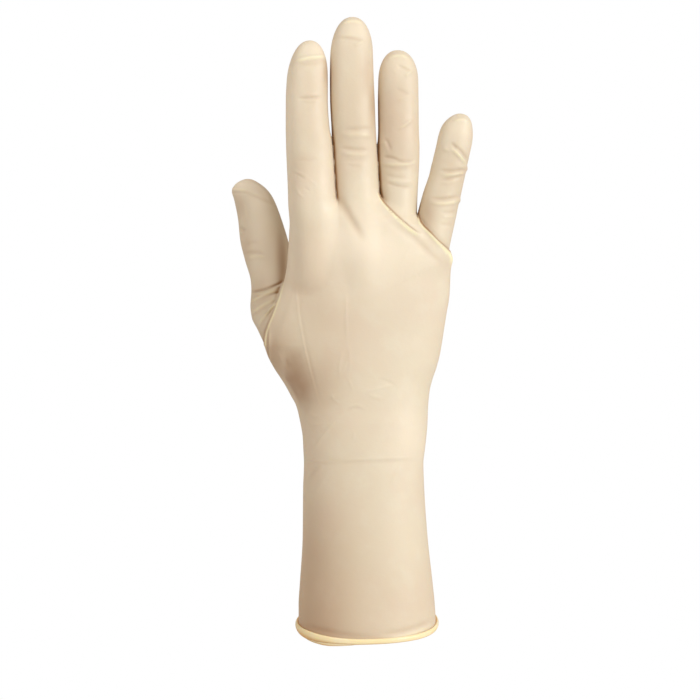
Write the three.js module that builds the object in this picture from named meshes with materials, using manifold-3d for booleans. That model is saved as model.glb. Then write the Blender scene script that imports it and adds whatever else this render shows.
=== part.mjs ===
// A right-hand surgical glove in the form that it has when worn: one thin film with five finger
// stalls, a palm and a long sleeve, hollow all through, and the rolled cuff round the sleeve's mouth.
// Millimetres, +Z up. The origin is the centre of the cuff's mouth, the fingers point to +Z,
// the glove's back faces -Y and the thumb is on the -X side.
// Every form is a loft through a short table of sections. The tables hold shares of the named sizes.

import * as THREE from "three";
import { mergeVertices } from "three/addons/utils/BufferGeometryUtils.js";
import Module from "manifold-3d";

const wasm = await Module();
wasm.setup();

// Driving dimensions
const WALL = 1;
const SLEEVE_LENGTH = 92;
const CUFF_WIDTH = 65.5;
const CUFF_DEPTH = 51;
const WRIST_WIDTH = 57.5;
const WRIST_DEPTH = 38;
const PALM_LENGTH = 104;
const PALM_WIDTH = 75.5;
const PALM_DEPTH = 30;
const FINGER_LENGTH = 85.5;
const FINGER_WIDTH = 20;
const FINGER_DEPTH = 18.4;
const FINGER_GAP = 1;
const THUMB_LENGTH = 108;
const THUMB_WIDTH = 20.5;
const THUMB_DEPTH = 22;

// The cuff's mouth leans down towards the glove's back, and down towards the thumb
const CUFF_LEAN = THREE.MathUtils.degToRad(10.5);
const CUFF_SIDE_LEAN = THREE.MathUtils.degToRad(0.7);

// The film is stretched from the middle finger to the outer edge of the palm: its top edge there
// falls by this much, and stands proud of the ring and little fingers as a lip
const WEB_FALL = 28;
const WEB_LIP = 1.1;

// Creases stand this far out of the film, over this share of a finger's length each way
const CREASE_HEIGHT = 0.9;
const CREASE_REACH = 0.035;

// The rolled cuff
const ROLL_THICKNESS = 1.5;
const ROLL_HEIGHT = 2.7;
const ROLL_CLEARANCE = 0.35;
const LOOSE_ROLL_HEIGHT = 4.3;
const LOOSE_ROLL_ANGLE = THREE.MathUtils.degToRad(225);
const LOOSE_ROLL_REACH = THREE.MathUtils.degToRad(50);

// Facets round each form, and round the roll's own section
const BODY_SIDES = 40;
const FINGER_SIDES = 20;
const THUMB_SIDES = 22;
const ROLL_STEPS = 48;
const ROLL_SIDES = 8;

// The corners of the sections are fuller than an ellipse's, whose power is 2
const BODY_POWER = 2.25;
const FINGER_POWER = 2.1;

// The sleeve, from the cuff's mouth to the wrist. at is a share of SLEEVE_LENGTH, and the four
// reaches from the axis are shares of the row's own width and depth.
const SLEEVE_ROWS = [
  { at: 0.0, width: CUFF_WIDTH, depth: CUFF_DEPTH, left: 0.493, right: 0.507, back: 0.51, palm: 0.49 },
  { at: 0.2, width: CUFF_WIDTH, depth: CUFF_DEPTH, left: 0.476, right: 0.476, back: 0.475, palm: 0.46 },
  { at: 0.44, width: WRIST_WIDTH, depth: WRIST_DEPTH, left: 0.518, right: 0.485, back: 0.58, palm: 0.56 },
  { at: 0.68, width: WRIST_WIDTH, depth: WRIST_DEPTH, left: 0.518, right: 0.47, back: 0.535, palm: 0.526 },
  { at: 0.87, width: WRIST_WIDTH, depth: WRIST_DEPTH, left: 0.518, right: 0.485, back: 0.51, palm: 0.508 },
  { at: 1.0, width: WRIST_WIDTH, depth: WRIST_DEPTH, left: 0.539, right: 0.485, back: 0.49, palm: 0.505 },
];

// The palm, from the wrist to the roots of the fingers. at is a share of PALM_LENGTH.
const PALM_ROWS = [
  { at: 0.1, left: 0.449, right: 0.378, back: 0.583, palm: 0.673 },
  { at: 0.15, left: 0.499, right: 0.388, back: 0.567, palm: 0.7 },
  { at: 0.2, left: 0.54, right: 0.405, back: 0.553, palm: 0.727 },
  { at: 0.25, left: 0.575, right: 0.429, back: 0.543, palm: 0.743 },
  { at: 0.31, left: 0.615, right: 0.449, back: 0.533, palm: 0.75 },
  { at: 0.37, left: 0.636, right: 0.464, back: 0.527, palm: 0.733 },
  { at: 0.42, left: 0.622, right: 0.474, back: 0.523, palm: 0.7 },
  { at: 0.48, left: 0.593, right: 0.487, back: 0.523, palm: 0.653 },
  { at: 0.58, left: 0.539, right: 0.51, back: 0.527, palm: 0.58 },
  { at: 0.68, left: 0.498, right: 0.518, back: 0.533, palm: 0.52 },
  { at: 0.78, left: 0.486, right: 0.522, back: 0.53, palm: 0.48 },
  { at: 0.88, left: 0.481, right: 0.524, back: 0.513, palm: 0.45 },
  { at: 0.95, left: 0.478, right: 0.526, back: 0.487, palm: 0.415 },
  { at: 0.985, left: 0.468, right: 0.522, back: 0.433, palm: 0.36 },
  { at: 1.0, left: 0.45, right: 0.506, back: 0.333, palm: 0.29 },
];
const PALM_TOP_LIP_AT = 0.95;
const PALM_TOP_LIP_REACH = 0.07;

// The stretched edge starts to fall at the middle finger and ends at the palm's outer edge:
// shares of PALM_WIDTH from the axis, and the share of PALM_LENGTH where the rows start to follow it
const WEB_START = 0.086;
const WEB_END = 0.52;
const WEB_BELOW = 0.3;

// One profile serves the four fingers. up is a share of the finger's length from its root, wide
// and deep are shares of its width and depth, forward moves the middle of the section towards
// the palm by a share of the depth, and swell is the depth that a knuckle adds.
const FINGER_ROWS = [
  { up: -0.4, wide: 0.85, deep: 1.0, forward: 0.0, swell: 0.42 },
  { up: -0.2, wide: 0.98, deep: 1.06, forward: -0.02, swell: 0.54 },
  { up: -0.07, wide: 1.0, deep: 1.1, forward: -0.04, swell: 0.44 },
  { up: 0.05, wide: 0.99, deep: 1.1, forward: -0.04, swell: 0.32 },
  { up: 0.17, wide: 0.98, deep: 1.08, forward: -0.02, swell: 0.14 },
  { up: 0.3, wide: 1.0, deep: 1.03, forward: 0.0, swell: 0.03 },
  { up: 0.45, wide: 1.0, deep: 1.01, forward: 0.02, swell: 0.0 },
  { up: 0.62, wide: 0.97, deep: 0.95, forward: 0.06, swell: 0.0 },
  { up: 0.78, wide: 0.925, deep: 0.88, forward: 0.12, swell: 0.0 },
  { up: 0.87, wide: 0.85, deep: 0.79, forward: 0.16, swell: 0.0 },
  { up: 0.93, wide: 0.7, deep: 0.65, forward: 0.19, swell: 0.0 },
  { up: 0.97, wide: 0.49, deep: 0.45, forward: 0.21, swell: 0.0 },
  { up: 1.0, wide: 0, deep: 0, forward: 0.22, swell: 0.0 },
];
// The fingers stand side by side at this share of their length, a gap apart
const SIDE_BY_SIDE_UP = 0.3;
// The row of fingers is a little off the axis, as a share of PALM_WIDTH
const FINGER_ROW_SHIFT = 0.038;

// long, wide and thick are shares of the three finger sizes, which are the middle finger's own.
// lean moves the tip sideways, as a share of the finger's length, low puts the root below the
// palm's top, as a share of WEB_FALL, and creases are the shares of the length where they lie.
const FINGERS = [
  {
    ...{ long: 0.877, wide: 1.04, thick: 1.01, lean: -0.032, taper: 0.14, low: 0, knuckle: 1 },
    creases: [0.77, 0.88],
  },
  {
    ...{ long: 1, wide: 1, thick: 1, lean: -0.052, taper: 0, low: 0, knuckle: 1 },
    creases: [0.44, 0.54, 0.87],
  },
  {
    ...{ long: 0.825, wide: 0.94, thick: 0.946, lean: -0.012, taper: 0, low: 0, knuckle: 0.12 },
    creases: [0.15, 0.33, 0.8],
  },
  {
    ...{ long: 0.696, wide: 0.87, thick: 0.87, lean: 0.225, taper: 0, low: 0.68, knuckle: 0 },
    creases: [0.2, 0.38, 0.58],
  },
];

// The thumb, from inside the wrist over its ball to the tip. up is a share of THUMB_LENGTH, out
// of PALM_WIDTH from the axis, forward of PALM_DEPTH towards the palm side.
const THUMB_ROWS = [
  { up: 0.0, out: 0.2, forward: 0.1, wide: 0.9, deep: 0.8 },
  { up: 0.1, out: 0.29, forward: 0.26, wide: 1.25, deep: 1.12 },
  { up: 0.2, out: 0.4, forward: 0.41, wide: 1.42, deep: 1.2 },
  { up: 0.33, out: 0.505, forward: 0.583, wide: 1.36, deep: 1.23 },
  { up: 0.43, out: 0.545, forward: 0.69, wide: 1.2, deep: 1.16 },
  { up: 0.5, out: 0.565, forward: 0.76, wide: 1.1, deep: 1.1 },
  { up: 0.58, out: 0.58, forward: 0.815, wide: 1.05, deep: 1.04 },
  { up: 0.68, out: 0.612, forward: 0.867, wide: 1.06, deep: 1.03 },
  { up: 0.79, out: 0.646, forward: 0.9, wide: 0.985, deep: 1.0 },
  { up: 0.86, out: 0.67, forward: 0.91, wide: 0.917, deep: 0.945 },
  { up: 0.91, out: 0.694, forward: 0.913, wide: 0.85, deep: 0.855 },
  { up: 0.95, out: 0.72, forward: 0.91, wide: 0.77, deep: 0.71 },
  { up: 0.98, out: 0.736, forward: 0.9, wide: 0.55, deep: 0.45 },
  { up: 1.0, out: 0.73, forward: 0.895, wide: 0, deep: 0 },
];
const THUMB_CREASES = [0.47, 0.53, 0.59];
// The thumb starts this share of PALM_LENGTH above the wrist
const THUMB_START = 0.06;

const palmTop = SLEEVE_LENGTH + PALM_LENGTH;
const { clamp, lerp, smoothstep } = THREE.MathUtils;

// A bump that is 1 at its middle and 0 at its reach
function bump(distance, reach) {
  const share = clamp(1 - Math.abs(distance) / reach, 0, 1);
  return share * share * (3 - 2 * share);
}

// A point of a closed section: four quarter curves with their own reaches from the middle
function sectionPoint(row, angle, power) {
  const c = Math.cos(angle);
  const s = Math.sin(angle);
  const across = Math.sign(c) * Math.abs(c) ** (2 / power) * (c < 0 ? row.left : row.right);
  const deep = Math.sign(s) * Math.abs(s) ** (2 / power) * (s < 0 ? row.back : row.palm);
  return new THREE.Vector3(row.x + across, row.y + deep, row.z);
}

// A closed skin over rings of points, each end closed to the middle of its ring
function skin(rings) {
  const points = [];
  const faces = [];
  const sides = rings[0].length;
  for (const ring of rings) for (const p of ring) points.push(p.x, p.y, p.z);
  for (let r = 0; r + 1 < rings.length; r++) {
    for (let k = 0; k < sides; k++) {
      const next = (k + 1) % sides;
      const a = r * sides + k;
      const b = r * sides + next;
      faces.push(a, b, b + sides, a, b + sides, a + sides);
    }
  }
  const bottom = points.length / 3;
  const top = bottom + 1;
  const last = (rings.length - 1) * sides;
  for (const ring of [rings[0], rings.at(-1)]) {
    const middle = new THREE.Vector3();
    for (const p of ring) middle.addScaledVector(p, 1 / sides);
    points.push(middle.x, middle.y, middle.z);
  }
  for (let k = 0; k < sides; k++) {
    const next = (k + 1) % sides;
    faces.push(bottom, next, k, top, last + k, last + next);
  }
  return solid(points, faces);
}

function solid(points, faces) {
  const mesh = { numProp: 3, vertProperties: new Float32Array(points), triVerts: new Uint32Array(faces) };
  return new wasm.Manifold(new wasm.Mesh(mesh));
}

// How far the stretched top edge has fallen at this distance from the axis, from 0 to 1
function webFall(x) {
  return clamp((x / PALM_WIDTH - WEB_START) / (WEB_END - WEB_START), 0, 1);
}

// The cuff's mouth leans, and less and less so up the sleeve
function cuffLean(x, y, z) {
  const share = clamp(1 - z / SLEEVE_LENGTH, 0, 1);
  return share * (y * Math.tan(CUFF_LEAN) + x * Math.tan(CUFF_SIDE_LEAN));
}

// The sleeve and palm as one solid. inset moves every wall inwards, and below lengthens the mouth.
function body(inset, below) {
  const rows = SLEEVE_ROWS.map((r) => ({
    ...{ z: r.at * SLEEVE_LENGTH, at: 0, left: r.left * r.width, right: r.right * r.width },
    ...{ back: r.back * r.depth, palm: r.palm * r.depth },
  }));
  rows.unshift({ ...rows[0], z: -below });
  for (const r of PALM_ROWS) {
    const z = SLEEVE_LENGTH + r.at * (PALM_LENGTH - inset);
    const reaches = { left: r.left * PALM_WIDTH, right: r.right * PALM_WIDTH };
    rows.push({ z, at: r.at, ...reaches, back: r.back * PALM_DEPTH, palm: r.palm * PALM_DEPTH });
  }
  const rings = rows.map((row) => {
    const walls = { left: row.left - inset, right: row.right - inset };
    const section = { ...row, ...walls, back: row.back - inset, palm: row.palm - inset, x: 0, y: 0 };
    const lip = inset ? 0 : WEB_LIP * bump(row.at - PALM_TOP_LIP_AT, PALM_TOP_LIP_REACH);
    return Array.from({ length: BODY_SIDES }, (_, k) => {
      const angle = (2 * Math.PI * k) / BODY_SIDES;
      const p = sectionPoint(section, angle, BODY_POWER);
      const fall = webFall(p.x);
      p.y -= lip * fall * Math.max(0, -Math.sin(angle));
      p.z += cuffLean(p.x, p.y, p.z) - WEB_FALL * fall * smoothstep(row.at, WEB_BELOW, 1);
      return p;
    });
  });
  return skin(rings);
}

// Rows of a stall with the rows of its creases put in between, each crease's crest and feet
function withCreases(rows, creases) {
  const ups = new Set(rows.map((r) => r.up));
  for (const c of creases) [c - CREASE_REACH, c, c + CREASE_REACH].forEach((up) => ups.add(up));
  return [...ups]
    .sort((a, b) => a - b)
    .map((up) => {
      const above = Math.max(1, rows.findIndex((r) => r.up >= up));
      const [low, high] = [rows[above - 1], rows[above]];
      const share = (up - low.up) / (high.up - low.up);
      const row = {};
      for (const column of Object.keys(low)) row[column] = lerp(low[column], high[column], share);
      const crests = creases.map((c) => bump(up - c, CREASE_REACH));
      return { ...row, up, crease: Math.max(0, ...crests) };
    });
}

// A stall as one solid: rings of the rows that place() gives, with creases across its back.
// The side that the creases cross is given by its angle.
function stall(rows, inset, sides, creaseAngle, place) {
  const rings = rows.map((row) => {
    const { x, y, z, halfWidth, halfDepth } = place(row);
    const half = { left: halfWidth, right: halfWidth, back: halfDepth, palm: halfDepth };
    for (const reach of Object.keys(half)) half[reach] = Math.max(half[reach] - inset, WALL / 20);
    const height = inset ? 0 : CREASE_HEIGHT * row.crease;
    return Array.from({ length: sides }, (_, k) => {
      const angle = (2 * Math.PI * k) / sides;
      const p = sectionPoint({ x, y, z, ...half }, angle, FINGER_POWER);
      const facing = Math.max(0, Math.cos(angle - creaseAngle));
      p.x += height * facing * Math.cos(creaseAngle);
      p.y += height * facing * Math.sin(creaseAngle);
      return p;
    });
  });
  return skin(rings);
}

// The fingers' own sizes, and their middles where they stand side by side
function fingers() {
  const sized = FINGERS.map((f) => ({
    ...f,
    length: f.long * FINGER_LENGTH,
    width: f.wide * FINGER_WIDTH,
    depth: f.thick * FINGER_DEPTH,
  }));
  const total = sized.reduce((sum, f) => sum + f.width, FINGER_GAP * (sized.length - 1));
  let edge = FINGER_ROW_SHIFT * PALM_WIDTH - total / 2;
  for (const f of sized) {
    f.middle = edge + f.width / 2;
    edge += f.width + FINGER_GAP;
  }
  return sized;
}

function finger(f, inset) {
  const rows = withCreases(FINGER_ROWS, inset ? [] : f.creases);
  const root = palmTop - f.low * WEB_FALL;
  const leanAt = (up) => f.lean * f.length * up * (1.5 - 0.5 * up);
  return stall(rows, inset, FINGER_SIDES, -Math.PI / 2, (row) => ({
    x: f.middle + leanAt(row.up) - leanAt(SIDE_BY_SIDE_UP),
    y: row.forward * f.depth,
    z: root + row.up * (f.length - inset),
    halfWidth: (f.width / 2) * row.wide * (1 + f.taper * (0.5 - clamp(row.up, 0, 1))),
    halfDepth: (f.depth / 2) * (row.deep + f.knuckle * row.swell),
  }));
}

function thumb(inset) {
  const rows = withCreases(THUMB_ROWS, inset ? [] : THUMB_CREASES);
  return stall(rows, inset, THUMB_SIDES, (-3 * Math.PI) / 4, (row) => ({
    x: -row.out * PALM_WIDTH,
    y: row.forward * PALM_DEPTH,
    z: SLEEVE_LENGTH + THUMB_START * PALM_LENGTH + row.up * (THUMB_LENGTH - inset),
    halfWidth: (THUMB_WIDTH / 2) * row.wide,
    halfDepth: (THUMB_DEPTH / 2) * row.deep,
  }));
}

// All the forms as one solid, each wall moved inwards by inset
function allForms(inset, below) {
  const stalls = fingers().map((f) => finger(f, inset));
  return [thumb(inset), ...stalls].reduce((all, one) => all.add(one), body(inset, below));
}

// The film ends inside the roll, just above the roll's lower side
function glove() {
  const edge = ROLL_HEIGHT / 2 - ROLL_CLEARANCE;
  return allForms(0, edge).subtract(allForms(WALL, edge + CUFF_DEPTH / 2));
}

// The film's end rolled on itself: a ring round the sleeve's mouth, flatter than it is tall,
// with a looser and taller stretch towards the thumb side of the back
function roll() {
  const cuff = SLEEVE_ROWS[0];
  const away = ROLL_CLEARANCE + ROLL_THICKNESS / 2;
  const ring = {
    ...{ x: 0, y: 0, z: 0, left: cuff.left * cuff.width + away, right: cuff.right * cuff.width + away },
    ...{ back: cuff.back * cuff.depth + away, palm: cuff.palm * cuff.depth + away },
  };
  const points = [];
  const faces = [];
  for (let i = 0; i < ROLL_STEPS; i++) {
    const angle = (2 * Math.PI * i) / ROLL_STEPS;
    const step = 0.5 * (Math.PI / ROLL_STEPS);
    const middle = sectionPoint(ring, angle, BODY_POWER);
    const ahead = sectionPoint(ring, angle + step, BODY_POWER);
    const behind = sectionPoint(ring, angle - step, BODY_POWER);
    const outwards = new THREE.Vector3(ahead.y - behind.y, behind.x - ahead.x, 0).normalize();
    const height = lerp(ROLL_HEIGHT, LOOSE_ROLL_HEIGHT, bump(angle - LOOSE_ROLL_ANGLE, LOOSE_ROLL_REACH));
    for (let k = 0; k < ROLL_SIDES; k++) {
      const turn = (2 * Math.PI * k) / ROLL_SIDES;
      const p = middle.clone().addScaledVector(outwards, (ROLL_THICKNESS / 2) * Math.cos(turn));
      points.push(p.x, p.y, (height / 2) * Math.sin(turn) + cuffLean(p.x, p.y, 0));
      const a = i * ROLL_SIDES + k;
      const b = i * ROLL_SIDES + ((k + 1) % ROLL_SIDES);
      const turnOn = (n) => (n + ROLL_SIDES) % (ROLL_STEPS * ROLL_SIDES);
      faces.push(a, turnOn(a), turnOn(b), a, turnOn(b), b);
    }
  }
  return solid(points, faces);
}

// A named mesh of a solid, with flat normals
function mesh(name, made, material) {
  const { vertProperties, triVerts } = made.getMesh();
  const geometry = new THREE.BufferGeometry();
  geometry.setAttribute("position", new THREE.BufferAttribute(vertProperties, 3));
  geometry.setIndex(new THREE.BufferAttribute(triVerts, 1));
  const merged = mergeVertices(geometry);
  merged.computeVertexNormals();
  const named = new THREE.Mesh(merged, material);
  named.name = name;
  return named;
}

const filmMaterial = new THREE.MeshStandardMaterial({ color: 0xe9d6b6, roughness: 0.5, metalness: 0 });
const rollMaterial = new THREE.MeshStandardMaterial({ color: 0xf3dca4, roughness: 0.42, metalness: 0 });

const surgicalGlove = new THREE.Group();
surgicalGlove.add(mesh("glove_film", glove(), filmMaterial));
surgicalGlove.add(mesh("rolled_cuff", roll(), rollMaterial));

export default surgicalGlove;
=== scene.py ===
import math

import bmesh
import bpy
import numpy as np
import openvdb
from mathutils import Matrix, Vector


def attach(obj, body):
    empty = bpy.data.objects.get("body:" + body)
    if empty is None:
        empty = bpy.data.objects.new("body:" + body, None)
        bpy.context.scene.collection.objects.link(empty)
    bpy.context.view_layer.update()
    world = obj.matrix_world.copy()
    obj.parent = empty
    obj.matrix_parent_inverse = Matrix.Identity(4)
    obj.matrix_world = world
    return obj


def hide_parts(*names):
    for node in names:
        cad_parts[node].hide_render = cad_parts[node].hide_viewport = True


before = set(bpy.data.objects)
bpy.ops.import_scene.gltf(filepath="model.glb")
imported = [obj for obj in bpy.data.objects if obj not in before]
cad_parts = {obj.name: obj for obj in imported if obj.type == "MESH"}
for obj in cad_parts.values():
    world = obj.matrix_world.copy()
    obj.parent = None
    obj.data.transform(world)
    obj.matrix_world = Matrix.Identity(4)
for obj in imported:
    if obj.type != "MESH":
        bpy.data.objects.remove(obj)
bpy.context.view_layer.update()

# A right-hand surgical glove in its worn form. Metres, the fingers point to +Z, the glove's back
# faces -Y and the thumb is at -X. The film is worked out as one field of distances, in which the
# sleeve, palm and stalls flow into each other, and its folds are then pressed into the skin.

# The cuff's mouth leans down towards the glove's back, and a little towards the thumb
CUFF_LEAN = math.radians(10.5)
CUFF_SIDE_LEAN = math.radians(0.7)

FILM_WALL = 0.0007
# How full the corners of the sections and of the palm's top are: an ellipse's power is 2
SECTION_POWER = 2.2
PALM_POWER = 2.25
PALM_TOP_POWER = 2.5

# The eye of the photograph: its distance, and the point of the glove's plane that it faces
EYE = Vector((-0.0079, -0.9, 0.1262))
PHOTO_WIDTH = 0.3255
SENSOR = 36.0


def table(columns, *rows):
    """Named columns of a short table, in metres."""
    return dict(zip(columns.split(), np.array(rows, np.float64).T))


def rows_of(columns):
    """The rows of a table, each with its values by name."""
    return [dict(zip(columns, values)) for values in zip(*columns.values())]


# The sleeve and palm: reaches from the axis at each height
BODY = table(
    "z left right back palm",
    (-0.012, 0.0318, 0.0318, 0.0262, 0.025),
    (0, 0.0318, 0.0319, 0.026, 0.025),
    (0.008, 0.0318, 0.0315, 0.0251, 0.0243),
    (0.018, 0.0312, 0.0305, 0.0242, 0.0235),
    (0.04, 0.0299, 0.0281, 0.0222, 0.0213),
    (0.062, 0.0297, 0.0266, 0.0203, 0.02),
    (0.0735, 0.0293, 0.0262, 0.0196, 0.0196),
    (0.08, 0.0296, 0.0269, 0.0194, 0.0193),
    (0.086, 0.0299, 0.0276, 0.0191, 0.0194),
    (0.092, 0.0309, 0.0281, 0.0188, 0.0196),
    (0.1, 0.0328, 0.0284, 0.0178, 0.0202),
    (0.1076, 0.0366, 0.0292, 0.0171, 0.021),
    (0.1128, 0.0399, 0.0305, 0.0167, 0.0214),
    (0.118, 0.0433, 0.0323, 0.0164, 0.0215),
    (0.1242, 0.0464, 0.0339, 0.016, 0.021),
    (0.1305, 0.048, 0.035, 0.0157, 0.02),
    (0.1357, 0.0469, 0.0358, 0.0156, 0.019),
    (0.142, 0.0447, 0.0368, 0.0157, 0.018),
    (0.1523, 0.0406, 0.0384, 0.0158, 0.0165),
    (0.1627, 0.0373, 0.0389, 0.0158, 0.0152),
    (0.168, 0.0364, 0.0396, 0.0157, 0.0147),
    (0.17, 0.0362, 0.0395, 0.0156, 0.0145),
    (0.1731, 0.0358, 0.0388, 0.0154, 0.0142),
    (0.183, 0.0344, 0.0386, 0.0146, 0.0132),
    (0.192, 0.0335, 0.0375, 0.0128, 0.0118),
    (0.199, 0.0315, 0.036, 0.011, 0.01),
)
# The palm's top edge, how long it takes to round over, and where the palm has surely ended
PALM_TOP = table(
    "x z",
    (-0.04, 0.186),
    (-0.03, 0.194),
    (-0.013, 0.1955),
    (0.007, 0.1952),
    (0.016, 0.192),
    (0.0234, 0.1876),
    (0.031, 0.1805),
    (0.04, 0.1772),
)
PALM_TOP_ROUND = 0.010
PALM_END = 0.206

# The stalls: where the film lies at each height, to the left, right, back and palm side.
# The little finger's heights run along its own leaning axis.
INDEX = table(
    "z left right back palm",
    (0.15, -0.035, -0.017, -0.012, 0.008),
    (0.172, -0.035, -0.015, -0.015, 0.0105),
    (0.185, -0.0358, -0.0128, -0.0153, 0.0106),
    (0.1935, -0.0365, -0.0133, -0.0146, 0.0094),
    (0.2007, -0.0367, -0.0142, -0.0138, 0.0082),
    (0.21, -0.0371, -0.015, -0.0126, 0.0072),
    (0.2193, -0.0375, -0.0158, -0.012, 0.0066),
    (0.224, -0.0376, -0.0163, -0.0118, 0.0064),
    (0.2285, -0.0377, -0.0173, -0.0116, 0.0063),
    (0.2425, -0.0377, -0.0182, -0.0098, 0.007),
    (0.2518, -0.0373, -0.0182, -0.0082, 0.008),
    (0.261, -0.0366, -0.0178, -0.0069, 0.0088),
    (0.2704, -0.0358, -0.0174, -0.0056, 0.0092),
)
MIDDLE = table(
    "z left right back palm",
    (0.15, -0.012, 0.006, -0.012, 0.008),
    (0.17, -0.0135, 0.0072, -0.015, 0.0105),
    (0.184, -0.0136, 0.0066, -0.0147, 0.0115),
    (0.197, -0.015, 0.006, -0.0126, 0.0116),
    (0.206, -0.0156, 0.0055, -0.0108, 0.0108),
    (0.2155, -0.0161, 0.005, -0.0097, 0.0103),
    (0.222, -0.0163, 0.0045, -0.0095, 0.0098),
    (0.2285, -0.0165, 0.0041, -0.0094, 0.0095),
    (0.2425, -0.0172, 0.0036, -0.008, 0.0096),
    (0.2518, -0.0173, 0.0032, -0.0067, 0.0102),
    (0.261, -0.0172, 0.0029, -0.0054, 0.0108),
    (0.272, -0.0165, 0.0026, -0.0041, 0.0112),
    (0.2817, -0.0158, 0.0023, -0.0032, 0.0112),
)
RING = table(
    "z left right back palm",
    (0.15, 0.008, 0.023, -0.011, 0.008),
    (0.17, 0.006, 0.0236, -0.0118, 0.0114),
    (0.185, 0.0056, 0.0232, -0.01, 0.0126),
    (0.197, 0.0054, 0.0235, -0.0082, 0.0128),
    (0.206, 0.0051, 0.024, -0.007, 0.0122),
    (0.2147, 0.0046, 0.0244, -0.0066, 0.0115),
    (0.2208, 0.0048, 0.0245, -0.0066, 0.0113),
    (0.2285, 0.0052, 0.0242, -0.0058, 0.0111),
    (0.2425, 0.0051, 0.0241, -0.0042, 0.0116),
    (0.2518, 0.0053, 0.024, -0.0032, 0.0122),
    (0.2664, 0.0055, 0.0235, -0.0018, 0.0126),
)
LITTLE = table(
    "z left right back palm",
    (0.15, -0.0085, 0.007, -0.0095, 0.0085),
    (0.168, -0.009, 0.0084, -0.0105, 0.0092),
    (0.178, -0.0092, 0.0088, -0.0103, 0.0094),
    (0.19, -0.009, 0.0088, -0.0086, 0.0098),
    (0.1962, -0.0087, 0.0087, -0.0077, 0.0097),
    (0.1979, -0.0086, 0.0092, -0.0074, 0.0096),
    (0.2, -0.0084, 0.0088, -0.0072, 0.0096),
    (0.208, -0.0076, 0.0088, -0.0064, 0.0096),
    (0.2114, -0.0076, 0.0088, -0.0063, 0.0095),
    (0.2132, -0.0075, 0.0093, -0.0063, 0.0094),
    (0.215, -0.0075, 0.0087, -0.0063, 0.0093),
    (0.22, -0.0074, 0.0087, -0.0062, 0.009),
    (0.23, -0.0075, 0.0087, -0.005, 0.0098),
    (0.238, -0.0062, 0.0092, -0.004, 0.0102),
)
LITTLE_ROOT = (0.0302, 0.178)
LITTLE_LEAN = math.radians(12.5)
# How far the leaning finger reaches past its table to each side
LITTLE_SPREAD = 0.016
THUMB = table(
    "z left right back palm",
    (0.096, -0.031, -0.008, -0.006, 0.016),
    (0.108, -0.037, -0.01, -0.007, 0.0215),
    (0.118, -0.0428, -0.012, -0.0065, 0.0255),
    (0.128, -0.0478, -0.0165, -0.004, 0.029),
    (0.1357, -0.0515, -0.021, -0.001, 0.0312),
    (0.1415, -0.0544, -0.0255, 0.002, 0.0326),
    (0.1473, -0.0552, -0.0292, 0.0056, 0.034),
    (0.1545, -0.0549, -0.0312, 0.0098, 0.0354),
    (0.1588, -0.0552, -0.0325, 0.0118, 0.0362),
    (0.1694, -0.0582, -0.035, 0.0152, 0.0376),
    (0.1789, -0.0605, -0.0376, 0.0166, 0.0382),
    (0.1885, -0.0615, -0.0406, 0.0172, 0.0382),
    (0.1981, -0.0634, -0.0443, 0.0182, 0.0376),
    (0.203, -0.0647, -0.0473, 0.019, 0.037),
    (0.2056, -0.0643, -0.0492, 0.0195, 0.0366),
    (0.2082, -0.0624, -0.0512, 0.02, 0.0362),
)
# Where each stall ends, how long its end takes to round over, and how widely it flows into
# the palm at its root
STALL_ENDS = {
    "index": dict(rows=INDEX, end=0.2704, round=0.0195, power=2.15, flow=0.0045),
    "middle": dict(rows=MIDDLE, end=0.2817, round=0.017, power=2.3, flow=0.0045),
    "ring": dict(rows=RING, end=0.2664, round=0.015, power=2.3, flow=0.003),
    "little": dict(rows=LITTLE, end=0.2381, round=0.0145, power=2.2, flow=0.003),
    "thumb": dict(rows=THUMB, end=0.2082, round=0.008, power=2.5, flow=0.002),
}

# The film stretched from one finger to the next stands proud of the finger beyond it. Each ledge
# follows its points on the glove's back, with the proud side to the right of the way. It fades
# over the lengths of its ends, and its rim runs from the first to the last of its widths.
# A ledge's rim is given a paler colour, partly a painted highlight, and its foot painted shade
LEDGES = [
    dict(
        points=[(0.0051, 0.2015), (0.0053, 0.1992), (0.0061, 0.1969), (0.0076, 0.1947),
                (0.01, 0.1921), (0.0133, 0.1888), (0.0166, 0.1859), (0.0198, 0.1832),
                (0.0231, 0.1809), (0.0258, 0.1796)],
        height=0.0013, ends=(0.004, 0.006), widths=(0.0002, 0.0010), rim=1.0, foot=1.0,
    ),
    dict(
        points=[(0.0235, 0.1898), (0.0238, 0.1881), (0.0248, 0.1855), (0.0264, 0.1835),
                (0.0297, 0.1803), (0.033, 0.1769), (0.0363, 0.1739), (0.039, 0.1714),
                (0.0403, 0.169), (0.0409, 0.166), (0.0417, 0.16)],
        height=0.0014, ends=(0.002, 0.009), widths=(0.0003, 0.0011), rim=1.0, foot=1.0,
    ),
    dict(
        points=[(-0.0478, 0.1262), (-0.0476, 0.1314), (-0.047, 0.1348), (-0.0458, 0.1382),
                (-0.044, 0.1423), (-0.0429, 0.1452), (-0.0412, 0.1498), (-0.04, 0.1539),
                (-0.0388, 0.1579), (-0.0379, 0.1625)],
        height=0.0010, ends=(0.003, 0.012), widths=(0.0005, 0.0004), rim=0.9, foot=0.45,
    ),
]
# Across a ledge: where it rises, its rounded crest and the height it keeps behind that, the
# groove behind the crest as a share of the height and its place in crest widths, and how far the
# film takes to settle
LEDGE_RISE = (-0.0005, 0.0004)
LEDGE_RIM = 0.0016
LEDGE_KEEPS = 0.45
GROOVE_SHARE = 0.22
GROOVE_PLACE = 2.6
LEDGE_FADE = 0.013
# In front of it: a trench, as a share of the height
TRENCH_SHARE = 0.18
TRENCH_PLACE = 0.0011
TRENCH_WIDTH = 0.0007
TRENCH_REACH = 0.006
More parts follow.
